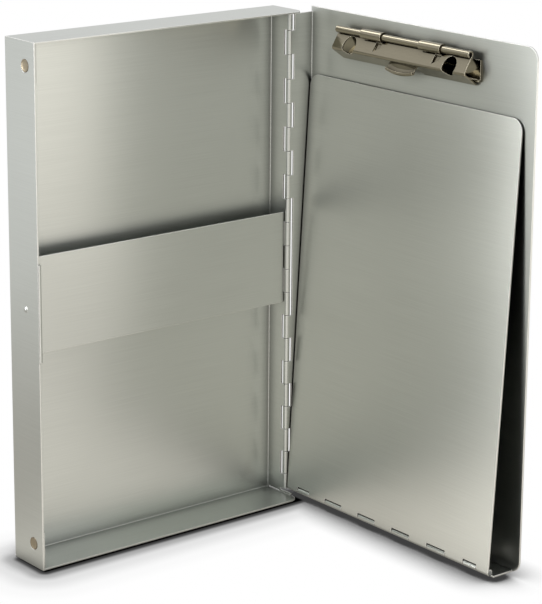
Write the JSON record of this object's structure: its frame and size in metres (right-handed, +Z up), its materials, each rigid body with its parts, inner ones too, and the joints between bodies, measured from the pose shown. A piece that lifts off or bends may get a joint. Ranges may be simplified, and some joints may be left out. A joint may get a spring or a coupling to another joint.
{
  "type": "storage clipboard",
  "caption": "Storage clipboard: shallow aluminium tray with paper retainer strap, hinged cover carrying a hinged writing plate and a spring clip with thumb lever.",
  "frame": {"origin": "middle of the footprint of the opened case, at the height it stands on", "axes": "+Z up along the main hinge, -Y the side from which the inside of the tray is seen, +X towards the cover"},
  "size_m": [0.1808, 0.178, 0.264],
  "materials": {
    "aluminium": "satin, finely brushed",
    "plate_aluminium": "satin, finely brushed",
    "nickel": "bright nickel plate",
    "rivet": "satin",
    "steel": "drawn wire"
  },
  "bodies": {
    "tray": {"tray_shell": "aluminium", "tray_rivet_top": "rivet", "tray_rivet_bottom": "rivet"},
    "main_pin": {"main_hinge_pin": "steel"},
    "strap": {"retainer_strap": "aluminium"},
    "cover": {"cover_shell": "aluminium", "clip_base": "nickel", "clip_rivet_left": "rivet", "clip_rivet_right": "rivet", "clip_lever_pin": "steel", "clip_torsion_spring": "steel"},
    "plate_pin": {"plate_hinge_pin": "steel"},
    "writing_plate": {"writing_plate": "plate_aluminium"},
    "jaw": {"clip_jaw": "nickel"},
    "lever": {"clip_lever": "nickel"}
  },
  "joints": [
    {"name": "cover_hinge", "type": "hinge", "parent": "tray", "child": "cover", "pos_m": [0.07475, 0.07562, 0.132], "axis": [0, 0, 1], "range_deg": [-90, 90]},
    {"name": "retainer_hinge", "type": "hinge", "parent": "tray", "child": "strap", "pos_m": [0.07475, 0.07562, 0.132], "axis": [0, 0, 1], "range_deg": [0, 90]},
    {"name": "main_pin_spin", "type": "hinge", "parent": "tray", "child": "main_pin", "pos_m": [0.07475, 0.07562, 0.132], "axis": [0, 0, 1], "continuous": true},
    {"name": "plate_hinge", "type": "hinge", "parent": "cover", "child": "writing_plate", "pos_m": [0.07605, 0, 0.00445], "axis": [0, -1, 0], "range_deg": [0, 48]},
    {"name": "plate_pin_spin", "type": "hinge", "parent": "cover", "child": "plate_pin", "pos_m": [0.07605, 0, 0.00445], "axis": [0, 1, 0], "continuous": true},
    {"name": "jaw_pivot", "type": "hinge", "parent": "cover", "child": "jaw", "pos_m": [0.08365, 0, 0.256], "axis": [0, 1, 0], "range_deg": [0, 25], "stiffness_Nm_per_rad": 0.4, "springref_deg": -28.65},
    {"name": "lever_pivot", "type": "hinge", "parent": "cover", "child": "lever", "pos_m": [0.08535, 0, 0.2475], "axis": [0, 1, 0], "range_deg": [0, 65]}
  ],
  "couplings": [
    {"joint": "lever_pivot", "follows": "jaw_pivot", "ratio": 2.6}
  ]
}
